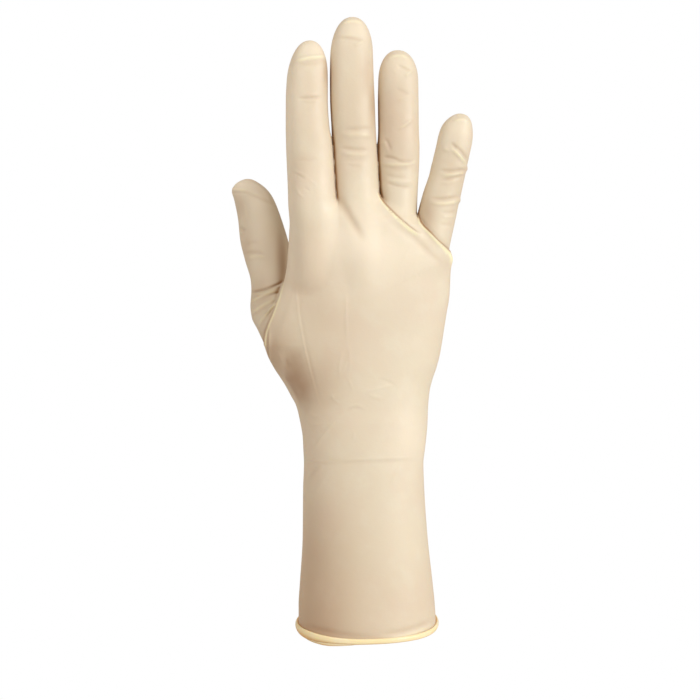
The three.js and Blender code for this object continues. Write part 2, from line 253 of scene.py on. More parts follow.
# Its painted colour: the width at which a rim gets its full pale colour and painted highlight, how far
# behind the edge it lies in widths, and the painted shade at its foot with the share that it loses on the
# way
FULL_RIM = 0.0006
RIM_PLACE = 0.8
FOOT_PLACE = 0.0004
FOOT_WIDTH = 0.0005
FOOT_LOSES = 0.6

# How a fold fades at its two ends, in shares of its length, and how far it is felt around it
FOLD_START = (-0.08, 0.34)
FOLD_END = (1.08, 0.66)
FOLD_REACH = 0.004
# Folds and creases: from one point of the back to another, seen from the eye, with the bow of
# the line between them, the height (a crease's is negative) and the half width
FOLDS = table(
    "x0 z0 x1 z1 bow height width",
    # index finger
    (-0.035, 0.2598, -0.0176, 0.2624, 0.001, 0.0007, 0.001),
    (-0.034, 0.2576, -0.0186, 0.26, 0.0008, -0.0003, 0.0011),
    (-0.0325, 0.2432, -0.0207, 0.2437, 0, -0.00034, 0.0007),
    (-0.032, 0.245, -0.0215, 0.2453, 0, 0.00014, 0.001),
    (-0.03, 0.2411, -0.0235, 0.2413, 0, -0.00014, 0.0008),
    (-0.0338, 0.2146, -0.0205, 0.2154, -0.0004, -0.00012, 0.001),
    (-0.0346, 0.2096, -0.0274, 0.2062, 0.0003, 0.00012, 0.0006),
    (-0.0346, 0.2086, -0.029, 0.2056, 0.0003, -0.0001, 0.0006),
    (-0.0274, 0.2055, -0.0232, 0.2023, 0.0003, 0.0001, 0.0006),
    (-0.0296, 0.2021, -0.0267, 0.1998, 0.0003, -0.00012, 0.0006),
    (-0.0333, 0.2023, -0.0282, 0.1968, -0.001, 0.00012, 0.0006),
    # middle finger
    (-0.0124, 0.2776, -0.0004, 0.2771, 0.0018, 0.0005, 0.001),
    (-0.015, 0.2714, -0.0006, 0.2697, 0.0006, -0.00036, 0.0008),
    (-0.001, 0.2704, -0.0058, 0.2676, 0, 0.00034, 0.0008),
    (-0.011, 0.2284, 0.0036, 0.229, 0.0004, -0.00024, 0.0011),
    (-0.0126, 0.2262, 0.004, 0.2256, 0.0004, 0.00034, 0.0014),
    (-0.013, 0.2204, 0.0018, 0.2193, -0.0004, -0.0003, 0.001),
    (-0.0128, 0.218, 0.0014, 0.2172, -0.0004, 0.0003, 0.0011),
    (-0.0116, 0.2146, 0.0002, 0.215, -0.0003, -0.00012, 0.001),
    (-0.01, 0.212, -0.002, 0.2114, 0, -0.00012, 0.0009),
    # ring finger
    (0.009, 0.2614, 0.0204, 0.2614, 0.0018, 0.00045, 0.0009),
    (0.0138, 0.2587, 0.0206, 0.2561, 0, -0.00036, 0.0007),
    (0.0212, 0.2564, 0.0176, 0.2532, 0, 0.00034, 0.0008),
    (0.015, 0.258, 0.0118, 0.255, 0, 0.00022, 0.0014),
    (0.0132, 0.248, 0.02, 0.2446, 0, -0.00018, 0.001),
    (0.014, 0.2418, 0.02, 0.245, 0, 0.00018, 0.0009),
    (0.014, 0.2285, 0.0214, 0.234, -0.0004, 0.00034, 0.0007),
    (0.0082, 0.225, 0.011, 0.2184, 0.0003, -0.00026, 0.0008),
    (0.0072, 0.224, 0.01, 0.2174, 0.0003, 0.00018, 0.0009),
    (0.0072, 0.216, 0.015, 0.2144, 0.0003, -0.0004, 0.0008),
    (0.013, 0.2146, 0.0222, 0.2142, -0.0008, -0.00042, 0.0008),
    (0.0062, 0.2128, 0.0236, 0.2134, -0.0006, 0.00044, 0.001),
    (0.0092, 0.2106, 0.021, 0.21, -0.0003, -0.00014, 0.0009),
    (0.0082, 0.2078, 0.018, 0.2066, -0.0006, -0.00018, 0.0009),
    (0.0086, 0.2054, 0.0226, 0.2044, -0.0004, 0.0002, 0.001),
    (0.0086, 0.204, 0.0214, 0.2019, -0.0006, -0.00034, 0.0008),
    # little finger
    (0.0398, 0.2322, 0.048, 0.2322, 0.0012, 0.0004, 0.0008),
    (0.0385, 0.2225, 0.0418, 0.2196, 0.0004, -0.0004, 0.0009),
    (0.0384, 0.2206, 0.0468, 0.2114, 0.0006, 0.0006, 0.0009),
    (0.0402, 0.2212, 0.0474, 0.2134, 0.0008, -0.00044, 0.0008),
    (0.035, 0.22, 0.0396, 0.2176, 0.0004, 0.00028, 0.001),
    (0.033, 0.2098, 0.0474, 0.2104, -0.0006, -0.00044, 0.0008),
    (0.0336, 0.2078, 0.0472, 0.209, -0.0006, 0.0004, 0.001),
    (0.0334, 0.2052, 0.0464, 0.2082, -0.0005, -0.00034, 0.0008),
    (0.034, 0.2036, 0.044, 0.2058, -0.0004, 0.00024, 0.001),
    (0.0296, 0.1968, 0.0436, 0.1978, -0.0006, -0.0005, 0.0008),
    (0.0294, 0.1946, 0.044, 0.1958, -0.0008, 0.00056, 0.001),
    (0.034, 0.1902, 0.042, 0.1908, -0.0004, -0.00026, 0.0009),
    (0.0346, 0.1884, 0.0414, 0.1886, -0.0004, 0.00022, 0.0009),
    (0.0334, 0.1846, 0.04, 0.1844, 0, -0.00022, 0.0009),
    # thumb
    (-0.069, 0.1992, -0.053, 0.199, 0.0004, -0.0003, 0.0006),
    (-0.069, 0.2006, -0.054, 0.2006, 0.0004, 0.00045, 0.0009),
    (-0.057, 0.1992, -0.043, 0.1934, 0.0006, -0.00034, 0.0007),
    (-0.057, 0.2006, -0.044, 0.1948, 0.0006, 0.00022, 0.0009),
    (-0.0545, 0.205, -0.044, 0.193, 0.0016, 0.00022, 0.0007),
    (-0.0574, 0.196, -0.056, 0.186, 0.0004, 0.00028, 0.001),
    (-0.06, 0.1838, -0.056, 0.1818, -0.0004, -0.00036, 0.0009),
    (-0.0568, 0.1712, -0.047, 0.1706, 0.0006, -0.0004, 0.001),
    (-0.0564, 0.1688, -0.0462, 0.1694, 0.0006, 0.0004, 0.0012),
    (-0.057, 0.1748, -0.05, 0.176, 0.0006, -0.00022, 0.001),
    (-0.057, 0.153, -0.0376, 0.1586, -0.0012, -0.00075, 0.0006),
    (-0.054, 0.1516, -0.0396, 0.156, -0.0006, 0.0004, 0.0011),
    (-0.056, 0.147, -0.0396, 0.154, 0.0012, 0.00055, 0.0007),
    (-0.049, 0.1494, -0.0386, 0.1534, 0.0006, -0.00022, 0.0005),
    (-0.056, 0.141, -0.0412, 0.1504, 0.001, 0.00045, 0.0009),
    (-0.056, 0.1396, -0.0412, 0.1488, 0.0008, -0.00022, 0.0008),
    (-0.0475, 0.1418, -0.0412, 0.149, 0.0002, 0.0008, 0.0005),
    (-0.051, 0.1362, -0.045, 0.1442, 0.0008, 0.00045, 0.0008),
    (-0.0492, 0.137, -0.044, 0.1436, 0.0004, -0.00016, 0.0007),
    # strip along the palm's edge
    (-0.0456, 0.138, -0.0452, 0.118, -0.0008, -0.0004, 0.0007),
    (-0.0448, 0.138, -0.0442, 0.118, -0.0008, 0.00032, 0.0006),
    # back of the palm
    (-0.0142, 0.1985, -0.0014, 0.1768, 0, -0.0007, 0.002),
    (0.017, 0.1846, 0.0385, 0.164, -0.0012, -0.0004, 0.002),
    (-0.0334, 0.159, -0.0224, 0.101, -0.0018, 0.00012, 0.0006),
    (-0.0325, 0.159, -0.0215, 0.101, -0.0018, -0.00009, 0.0007),
    (-0.01, 0.1528, -0.0094, 0.129, 0, 0.00012, 0.0007),
    (-0.0116, 0.125, -0.0128, 0.113, -0.0006, 0.00014, 0.0008),
    (-0.009, 0.129, -0.0086, 0.115, 0.0008, 0.00012, 0.0008),
    (0.0045, 0.113, 0.014, 0.109, 0.0006, -0.00012, 0.0008),
    (-0.0016, 0.1064, 0.0135, 0.1104, 0, 0.00014, 0.0008),
    (0, 0.1058, 0.008, 0.1036, -0.0004, 0.00014, 0.0009),
    (-0.018, 0.1036, -0.012, 0.1048, 0.0004, 0.00012, 0.0009),
    (-0.0083, 0.1243, -0.0127, 0.1143, 0.0004, 0.0001, 0.0006),
    (-0.0093, 0.1136, -0.0066, 0.1069, 0.0003, 0.0001, 0.0006),
    (-0.0421, 0.1257, -0.0401, 0.1196, 0.0003, 0.00012, 0.0006),
    (-0.0387, 0.1223, -0.037, 0.117, 0.0002, -0.0001, 0.0006),
    # wrist
    (-0.029, 0.0936, -0.0193, 0.0929, -0.0018, 0.0001, 0.0006),
    (-0.0274, 0.0969, -0.0213, 0.0963, -0.0013, 0.00008, 0.0006),
    (-0.006, 0.0882, -0.0067, 0.0842, 0.0002, 0.0001, 0.0006),
    (-0.0267, 0.077, -0.0094, 0.0983, 0.001, 0.0002, 0.0008),
    (-0.0104, 0.0978, -0.0006, 0.0988, 0.0022, 0.00012, 0.0006),
    (-0.01, 0.0968, -0.0012, 0.0978, 0.0018, -0.0001, 0.0008),
    (-0.031, 0.0762, -0.012, 0.074, -0.0008, 0.00018, 0.0006),
    (-0.017, 0.074, 0.024, 0.0762, 0.0004, 0.00016, 0.0008),
    (-0.031, 0.0744, 0.024, 0.0746, -0.0004, -0.00012, 0.0012),
    (-0.0276, 0.064, -0.0224, 0.0726, 0.0006, -0.00018, 0.0009),
    (-0.026, 0.056, -0.016, 0.07, 0.001, 0.00012, 0.0012),
    (0.011, 0.064, 0.016, 0.0735, 0, 0.00016, 0.0009),
    (-0.025, 0.07, -0.02, 0.0722, -0.0008, 0.0001, 0.0006),
    (-0.017, 0.1065, -0.011, 0.101, -0.0014, 0.0001, 0.0006),
    (-0.024, 0.088, -0.015, 0.095, -0.0012, 0.00008, 0.0007),
    # film drawn into the roll
    (-0.033, -0.0002, 0.008, -0.0072, -0.0022, -0.0003, 0.0014),
    (0.006, -0.0078, 0.033, 0.0002, -0.0024, 0.0005, 0.0011),
    (0.004, -0.0056, 0.033, 0.0028, -0.0026, -0.00025, 0.0012),
)

# Broad soft hollows and swellings of the back: middle, half sizes and height
SWELLS = table(
    "x z across along height",
    (-0.0255, 0.168, 0.008, 0.011, 0.0006),
    (0.001, 0.17, 0.008, 0.011, 0.0008),
    (0.019, 0.164, 0.008, 0.011, 0.0004),
    (-0.0085, 0.155, 0.007, 0.009, -0.0006),
    (-0.03, 0.153, 0.008, 0.008, -0.0004),
    (-0.033, 0.109, 0.012, 0.016, -0.0016),
    (-0.035, 0.124, 0.007, 0.009, -0.0006),
    (-0.006, 0.096, 0.012, 0.008, -0.0003),
    (0.0195, 0.085, 0.008, 0.013, 0.0007),
)

# Places where the film is painted darker, as painted shade and partly the film's own darker tone over the
# skin,
# or painted paler, as painted light: middle, half sizes and amount (the painted light is negative)
TONES = table(
    "x z across along amount",
    # heel of the thumb and palm
    (-0.043, 0.124, 0.009, 0.015, 0.5),
    (-0.034, 0.113, 0.012, 0.013, 0.06),
    (-0.028, 0.104, 0.012, 0.011, 0.08),
    (-0.019, 0.112, 0.013, 0.02, 0.28),
    (-0.027, 0.148, 0.012, 0.015, 0.2),
    (-0.012, 0.142, 0.013, 0.016, 0.1),
    (-0.025, 0.177, 0.008, 0.014, 0.16),
    (-0.0352, 0.17, 0.0022, 0.02, -0.25),
    (-0.012, 0.179, 0.0085, 0.01, -0.34),
    (0.0015, 0.18, 0.017, 0.011, -0.42),
    (0.005, 0.163, 0.014, 0.014, -0.42),
    (0.02, 0.172, 0.013, 0.01, -0.12),
    # sleeve
    (0.02, 0.083, 0.012, 0.012, -0.38),
    (-0.024, 0.018, 0.022, 0.042, 0.44),
    (-0.0305, 0.042, 0.0018, 0.03, -0.4),
    (-0.024, -0.006, 0.022, 0.014, 0.2),
    (0.02, 0.005, 0.022, 0.025, 0.11),
    # fingers
    (-0.0265, 0.242, 0.01, 0.028, 0.16),
    (-0.0188, 0.256, 0.0016, 0.008, 0.4),
    (-0.0366, 0.23, 0.0018, 0.04, -0.4),
    (-0.031, 0.211, 0.004, 0.008, 0.16),
    (-0.006, 0.238, 0.01, 0.034, 0.22),
    (0.0032, 0.242, 0.0022, 0.011, 0.36),
    (-0.0008, 0.256, 0.0024, 0.012, 0.2),
    (0.015, 0.23, 0.0095, 0.03, 0.24),
    (0.0105, 0.23, 0.003, 0.03, 0.14),
    (0.04, 0.208, 0.009, 0.023, 0.18),
    (0.0282, 0.189, 0.004, 0.009, 0.4),
    (-0.025, 0.2655, 0.007, 0.0045, -0.34),
    (-0.005, 0.274, 0.0065, 0.004, -0.24),
    (0.014, 0.257, 0.0045, 0.005, -0.2),
    (0.043, 0.229, 0.005, 0.003, -0.16),
    # thumb
    (-0.057, 0.204, 0.0085, 0.0042, -1.00),
    (-0.05, 0.197, 0.0055, 0.006, -0.7),
    (-0.05, 0.1515, 0.006, 0.009, 0.28),
    (-0.0485, 0.186, 0.0055, 0.011, -0.5),
    (-0.059, 0.1935, 0.0034, 0.006, 0.24),
    (-0.04, 0.1715, 0.002, 0.014, 0.3),
    (-0.056, 0.176, 0.0026, 0.012, 0.22),
)


# The film's field of distances: its cell, the box it fills, the furthest distance that it holds,
# and the least slope that a distance is worked out with
PITCH = 0.0005
FIELD_LOW = np.array((-0.0685, -0.0305, -0.0115))
FIELD_HIGH = np.array((0.0515, 0.0425, 0.2850))
FAR = 0.006
LEAST_SLOPE = 30.0
# How long a stall's root takes to round over, inside the palm
ROOT_ROUND = 0.01
# Smoothing: how often, and the shares of each step in and out
RELAX_ROUNDS = 3
RELAX_SHARES = (0.5, -0.52)
# The heights at which a crest gets its full painted highlight and a crease its full painted shade
BRIGHT_FROM = 0.00015
BRIGHT_HEIGHT = 0.0012
SHADE_DEPTH = 0.0024
# How far a ledge's relief reaches over the palm, and where the ledges end below the fingers
LEDGE_REACH = 0.045
LEDGE_TOP = 0.205
# Looks at how closed in the film is, for the painted shade in its gaps: blur, distance out, amounts
# for none and full, and the shares on the fingers and on the thumb
CLOSE_LOOKS = [
    (0.0012, 0.0016, 0.18, 0.75, 1.0, 2.0),
    (0.0035, 0.004, 0.16, 0.52, 0.14, 1.6),
    (0.0075, 0.0085, 0.16, 0.42, 0.06, 0.6),
]
# The field's cells that are one cell of the looks, and the empty cells beyond the glove, so that
# nothing is blurred round from the other side
COARSE = 2
CLEAR_CELLS = 20
# For the painted gap shade: where the thumb begins beside the palm's edge, which way film faces that other
# film covers, and the heights where the thumb's folds open up, with the share of painted shade that they
# lose there
PALM_EDGE = (-0.036, -0.040)
UNDER_FACING = (-0.30, 0.35)
THUMB_FOLDS = (0.1570, 0.1500)
OPEN_FOLD_LOSES = 0.75
# How far the film faces the back where its folds are pressed in, and where its painted light and shade are
# drawn
PRESSED_FACING = (0.03, 0.48)
MARKED_FACING = (-0.10, 0.30)


def along(rows, column, places):
    """A smooth curve through one column of a table, with no overshoot between its rows."""
    at = rows[list(rows)[0]]
    values = rows[column]
    gaps = np.diff(at)
    slopes = np.diff(values) / gaps
    before, after = slopes[:-1], slopes[1:]
    same_way = before * after > 0
    tangents = np.zeros(len(at))
    tangents[1:-1] = np.where(same_way, 2 * before * after / np.where(same_way, before + after, 1), 0)
    tangents[0], tangents[-1] = slopes[0], slopes[-1]
    i = np.clip(np.searchsorted(at, places) - 1, 0, len(at) - 2)
    t = np.clip((places - at[i]) / gaps[i], 0, 1)
    start = values[i] * (1 + 2 * t) * (1 - t) ** 2 + gaps[i] * tangents[i] * t * (1 - t) ** 2
    end = values[i + 1] * t * t * (3 - 2 * t) + gaps[i] * tangents[i + 1] * t * t * (t - 1)
    return start + end


def smoothstep(low, high, value):
    t = np.clip((value - low) / (high - low), 0, 1)
    return t * t * (3 - 2 * t)


def hump(value, middle, width):
    """1 at the middle, fading away on both sides."""
    return np.exp(-(((value - middle) / width) ** 2))


def rounded_distance(across, deep, end, power, end_power):
    """Distance from a full-cornered form. Each share comes with the half size that it counts in."""
    total = 0
    steepness = 0
    for (share, half), strength in ((across, power), (deep, power), (end, end_power)):
        size = np.abs(share)
        total = total + size**strength
        steepness = steepness + (strength * size ** (strength - 1) / half) ** 2
    total = np.maximum(total, 1e-6)
    reach = total ** (1 / power)
    slope = np.sqrt(steepness) / power * reach / total
    return np.clip((reach - 1) / np.maximum(slope, LEAST_SLOPE), -FAR, FAR).astype(np.float32)


def flow_together(a, b, width):
    """The nearer of two distances, rounded where they meet."""
    blend = np.maximum(width - np.abs(a - b), 0) / width
    return np.minimum(a, b) - blend * blend * width / 4


def palm_and_sleeve(x, y, z):
    left, right, back, palm = (along(BODY, side, z) for side in ("left", "right", "back", "palm"))
    half_width = np.where(x < 0, left, right)
    half_depth = np.where(y < 0, back, palm)
    top = np.interp(x, PALM_TOP["x"], PALM_TOP["z"])
    end = np.maximum(z - (top - PALM_TOP_ROUND), 0) / PALM_TOP_ROUND
    return rounded_distance(
        (x / half_width, half_width),
        (y / half_depth, half_depth),
        (end, PALM_TOP_ROUND),
        PALM_POWER,
        PALM_TOP_POWER,
    )


def stall(name, x, y, z):
    form = STALL_ENDS[name]
    rows = form["rows"]
    height, side = z, x
    if name == "little":
        root_x, root_z = LITTLE_ROOT
        c, s = math.cos(LITTLE_LEAN), math.sin(LITTLE_LEAN)
        side = (x - root_x) * c - (z - root_z) * s
        height = root_z + (x - root_x) * s + (z - root_z) * c
    left, right = along(rows, "left", height), along(rows, "right", height)
    back, palm = along(rows, "back", z), along(rows, "palm", z)
    half_width = (right - left) / 2
    half_depth = (palm - back) / 2
    end = np.maximum(height - (form["end"] - form["round"]), 0) / form["round"]
    low = np.maximum(rows["z"][0] + ROOT_ROUND - height, 0) / ROOT_ROUND
    return rounded_distance(
        ((side - (left + right) / 2) / half_width, half_width),
        ((y - (back + palm) / 2) / half_depth, half_depth),
        (end + low, form["round"]),
        SECTION_POWER,
        form["power"],
    )


def film_field():
    """Distances from the outer face of the film on a grid over the whole glove."""
    counts = np.ceil((FIELD_HIGH - FIELD_LOW) / PITCH).astype(int)
    x, y, z = (FIELD_LOW[a] + PITCH * np.arange(counts[a]) for a in range(3))
    x, y, z = x[:, None, None], y[None, :, None], z[None, None, :]
    body = np.full(counts, FAR, np.float32)
    top = np.searchsorted(z[0, 0], PALM_END)
    body[:, :, :top] = palm_and_sleeve(x, y, z[:, :, :top])
    film = body.copy()
    for name, form in STALL_ENDS.items():
        rows = form["rows"]
        shift = LITTLE_ROOT[0] if name == "little" else 0
        spread = LITTLE_SPREAD if name == "little" else FAR
        low, high = rows["left"].min() + shift - spread, rows["right"].max() + shift + spread
        across = slice(*np.searchsorted(x[:, 0, 0], (low, high)))
        upwards = slice(np.searchsorted(z[0, 0], rows["z"][0]), None)
        one = stall(name, x[across], y, z[:, :, upwards])
        part = (across, slice(None), upwards)
        film[part] = np.minimum(film[part], flow_together(body[part], one, form["flow"]))
    return film


def skin_of(field, level):
    """The vertices and four-sided faces of the surface at one level of the field."""
    grid = openvdb.FloatGrid()
    grid.background = FAR
    grid.copyFromArray(field)
    points, triangles, quads = grid.convertToPolygons(isovalue=level, adaptivity=0.0)
    return points.astype(np.float64) * PITCH + FIELD_LOW, quads


class Skin:
    """A mesh's points and faces in arrays, with what smoothing and pressing need."""

    def __init__(self, points, faces):
        self.points = points
        self.faces = faces
        sides = np.concatenate([faces[:, [i, (i + 1) % faces.shape[1]]] for i in range(faces.shape[1])])
        sides = np.unique(np.sort(sides, axis=1), axis=0)
        self.edges = sides
        self.valence = np.bincount(sides.ravel(), minlength=len(points)).astype(float)

    def neighbour_mean(self, values):
        a, b = self.edges.T
        total = np.empty_like(values)
        for axis in range(values.shape[1]):
            column = values[:, axis]
            total[:, axis] = np.bincount(a, column[b], len(values)) + np.bincount(b, column[a], len(values))
        return total / self.valence[:, None]

    def relax(self):
        """Smooths the skin, and swells it back so that it doesn't shrink."""
        for share in RELAX_SHARES * RELAX_ROUNDS:
            self.points += share * (self.neighbour_mean(self.points) - self.points)

    def normals(self):
        corners = self.points[self.faces]
        across = np.cross(corners[:, 2] - corners[:, 0], corners[:, 3] - corners[:, 1])
        total = np.zeros_like(self.points)
        for i in range(4):
            for axis in range(3):
                total[:, axis] += np.bincount(self.faces[:, i], across[:, axis], len(self.points))
        return total / np.maximum(np.linalg.norm(total, axis=1, keepdims=True), 1e-12)


# Folds of the film


def seen_from_eye(points):
    """Where points appear on the glove's own plane, seen from the eye: across and up."""
    nearer = -EYE.y / (points[:, 1] - EYE.y)
    return EYE.x + (points[:, 0] - EYE.x) * nearer, EYE.z + (points[:, 2] - EYE.z) * nearer


def fold_shape(x, z, row):
    """A fold's height at each place: a soft ridge or crease that fades out at both ends."""
    x0, z0, x1, z1 = row["x0"], row["z0"], row["x1"], row["z1"]
    length = math.hypot(x1 - x0, z1 - z0)
    dx, dz = (x1 - x0) / length, (z1 - z0) / length
    share = ((x - x0) * dx + (z - z0) * dz) / length
    aside = (z - z0) * dx - (x - x0) * dz
    bowed = aside - 4 * row["bow"] * np.clip(share, 0, 1) * (1 - np.clip(share, 0, 1))
    ends = smoothstep(*FOLD_START, share) * smoothstep(*FOLD_END, share)
    return row["height"] * hump(bowed, 0, row["width"]) * ends


def ledge_shape(x, z, ledge):
    """A ledge's height: a rounded rim along the line, and film that settles behind it; with the paler
    colour and painted highlight of its rim and the painted shade at its foot.
    """
    points = np.array(ledge["points"])
    nearest = np.full(x.shape, 1.0)
    aside = np.zeros(x.shape)
    travelled = np.zeros(x.shape)
    run = 0.0
    for (x0, z0), (x1, z1) in zip(points[:-1], points[1:]):
        length = math.hypot(x1 - x0, z1 - z0)
        dx, dz = (x1 - x0) / length, (z1 - z0) / length
        t = np.clip((x - x0) * dx + (z - z0) * dz, 0, length)
        away_x, away_z = x - x0 - t * dx, z - z0 - t * dz
        distance = np.hypot(away_x, away_z)
        closer = distance < nearest
        nearest = np.where(closer, distance, nearest)
        aside = np.where(closer, np.sign(dz * away_x - dx * away_z) * distance, aside)
        travelled = np.where(closer, run + t, travelled)
        run += length
    fade_in, fade_out = ledge["ends"]
    strength = smoothstep(LEDGE_RISE[0], fade_in, travelled)
    strength = strength * smoothstep(run, run - fade_out, travelled)
    beyond = np.maximum(aside, 0)
    rise = smoothstep(*LEDGE_RISE, aside)
    crest = hump(beyond, 0, LEDGE_RIM)
    groove = GROOVE_SHARE * hump(beyond, GROOVE_PLACE * LEDGE_RIM, LEDGE_RIM)
    settle = np.exp(-beyond / LEDGE_FADE)
    trench = TRENCH_SHARE * hump(aside, -TRENCH_PLACE, TRENCH_WIDTH) * (nearest < TRENCH_REACH)
    section = rise * (LEDGE_KEEPS + (1 - LEDGE_KEEPS) * crest - groove) * settle - trench
    height = ledge["height"] * strength * section
    start_width, end_width = ledge["widths"]
    width = start_width + (end_width - start_width) * travelled / run
    rim = ledge["rim"] * np.minimum(width / FULL_RIM, 1) * strength * rise
    rim = rim * hump(aside, width * RIM_PLACE, width)
    foot = ledge["foot"] * (1 - FOOT_LOSES * travelled / run) * strength
    foot = foot * hump(aside, -FOOT_PLACE, FOOT_WIDTH)
    return height, rim, foot


def patch_shape(x, z, row):
    """1 at the middle of a broad round patch, fading away over its half sizes."""
    away = ((x - row["x"]) / row["across"]) ** 2 + ((z - row["z"]) / row["along"]) ** 2
    return np.exp(-away)


def relief(x, z):
    """The film's relief at places seen from the eye: its height, its paler colour and painted highlight
    along rims and crests, its painted shade at the foot of ledges, in creases and in dusky places
    (partly the film's own darker tone), and its painted pale light."""
    height, bright, shade, pale = (np.zeros(len(x)) for _ in range(4))
    for row in rows_of(FOLDS):
        near = np.ones(len(x), bool)
        for place, ends in ((x, (row["x0"], row["x1"])), (z, (row["z0"], row["z1"]))):
            near &= (place > min(ends) - FOLD_REACH) & (place < max(ends) + FOLD_REACH)
        near = np.flatnonzero(near)
        fold = fold_shape(x[near], z[near], row)
        height[near] += fold
        bright[near] += np.maximum(fold - BRIGHT_FROM, 0) / BRIGHT_HEIGHT
        shade[near] += np.maximum(-fold, 0) / SHADE_DEPTH
    for row in rows_of(SWELLS):
        height += row["height"] * patch_shape(x, z, row)
    for row in rows_of(TONES):
        tone = row["amount"] * patch_shape(x, z, row)
        shade += np.maximum(tone, 0)
        pale += np.maximum(-tone, 0)
    for ledge in LEDGES:
        low = np.array(ledge["points"]).min(axis=0) - LEDGE_REACH
        near = np.flatnonzero((x > low[0]) & (z > low[1]) & (z < LEDGE_TOP))
        raised, rim, foot = ledge_shape(x[near], z[near], ledge)
        height[near] += raised
        bright[near] += rim
        shade[near] += foot
    return height, np.clip(bright, 0, 1), np.clip(shade, 0, 1), np.clip(pale, 0, 1)


def faces_back(normals, facing):
    """1 where the film faces out of the glove's back, 0 on the palm side."""
    return smoothstep(*facing, -normals[:, 1])


def folded_skin(field, level):
    """The skin at one level of the field, smoothed, and moved in and out along its normals by its
    folds, ledges and swells."""
    skin = Skin(*skin_of(field, level))
    skin.relax()
    normals = skin.normals()
    height, _, _, _ = relief(*seen_from_eye(skin.points))
    skin.points += (height * faces_back(normals, PRESSED_FACING))[:, None] * normals
    return skin


def blurred(solid, spacing, reach):
    """How much of the glove lies round each place of a coarse grid, out to about the reach."""
    spectrum = np.fft.rfftn(solid)
    for axis, count in enumerate(solid.shape):
        waves = np.fft.rfftfreq(count, spacing) if axis == 2 else np.fft.fftfreq(count, spacing)
        fade = np.exp(-2 * (math.pi * reach * waves) ** 2)
        spectrum *= fade.reshape([-1 if a == axis else 1 for a in range(3)])
    return np.fft.irfftn(spectrum, solid.shape)


def closed_in(field, points, normals):
    """Painted shade where the film lies under other film close by, from 0 to 1. Each finger lies partly
    under the one nearer the thumb, and the thumb lies under the palm's edge, and the film there is painted
    darker."""
    solid = (field[::COARSE, ::COARSE, ::COARSE] < 0).astype(np.float32)
    solid = np.pad(solid, (0, CLEAR_CELLS))
    spacing = PITCH * COARSE
    total = np.zeros(len(points))
    at_thumb = smoothstep(*PALM_EDGE, points[:, 0])
    open_fold = 1 - OPEN_FOLD_LOSES * at_thumb * smoothstep(*THUMB_FOLDS, points[:, 2])
    for reach, out, low, high, finger_share, thumb_share in CLOSE_LOOKS:
        amount = blurred(solid, spacing, reach)
        place = (points + normals * out - FIELD_LOW) / spacing
        cell = np.clip(np.floor(place).astype(int), 0, np.array(solid.shape) - 2)
        part = np.clip(place - cell, 0, 1)
        there = np.zeros(len(points))
        for corner in np.ndindex(2, 2, 2):
            weight = np.prod(np.where(corner, part, 1 - part), axis=1)
            there += weight * amount[tuple((cell + corner).T)]
        share = finger_share + (thumb_share - finger_share) * at_thumb
        total += share * smoothstep(low, high, there)
    under = (1 - 2 * at_thumb) * -normals[:, 0]
    total *= smoothstep(*UNDER_FACING, under) * open_fold
    return np.clip(total, 0, 1)


def give_marks(thing, **marks):
    """Writes values at the mesh's points for its material to read."""
    for name, values in marks.items():
        layer = thing.data.attributes.new(name, "FLOAT", "POINT")
        layer.data.foreach_set("value", values.astype(np.float32))


def mesh_object(name, points, faces):
    mesh = bpy.data.meshes.new(name)
    mesh.from_pydata(points, [], faces)
    thing = bpy.data.objects.new(name, mesh)
    bpy.context.scene.collection.objects.link(thing)
    return thing


def with_modifier(thing, kind, **settings):
    """The object's mesh with one modifier worked into it."""
    modifier = thing.modifiers.new(kind.title(), kind)
    for key, value in settings.items():
        setattr(modifier, key, value)
    shaped = thing.evaluated_get(bpy.context.evaluated_depsgraph_get())
    mesh = bpy.data.meshes.new_from_object(shaped)
    thing.modifiers.clear()
    old, thing.data = thing.data, mesh
    bpy.data.meshes.remove(old)


# How far the film goes on below the middle of the rolled cuff
EDGE_BELOW = 0.001


def mouth_height(x, y):
    return y * math.tan(CUFF_LEAN) + x * math.tan(CUFF_SIDE_LEAN)


def cut_at_mouth(thing):
    """Opens the film along the leaning plane of the cuff's mouth."""
    work = bmesh.new()
    work.from_mesh(thing.data)
    plane_normal = Vector((-math.tan(CUFF_SIDE_LEAN), -math.tan(CUFF_LEAN), 1)).normalized()
    bmesh.ops.bisect_plane(
        work, geom=work.verts[:] + work.edges[:] + work.faces[:], dist=1e-7,
        plane_co=(0, 0, -EDGE_BELOW), plane_no=plane_normal, clear_inner=True,
    )
    work.to_mesh(thing.data)
    work.free()


# The outer face keeps the detail
OUTER_TRIANGLES = 160000
INNER_TRIANGLES = 30000


def thinned(thing, triangles):
    """Takes the mesh down to about so many triangles, fewest where the film is plain."""
    now = sum(len(p.vertices) - 2 for p in thing.data.polygons)
    with_modifier(thing, "DECIMATE", ratio=min(1.0, triangles / now))


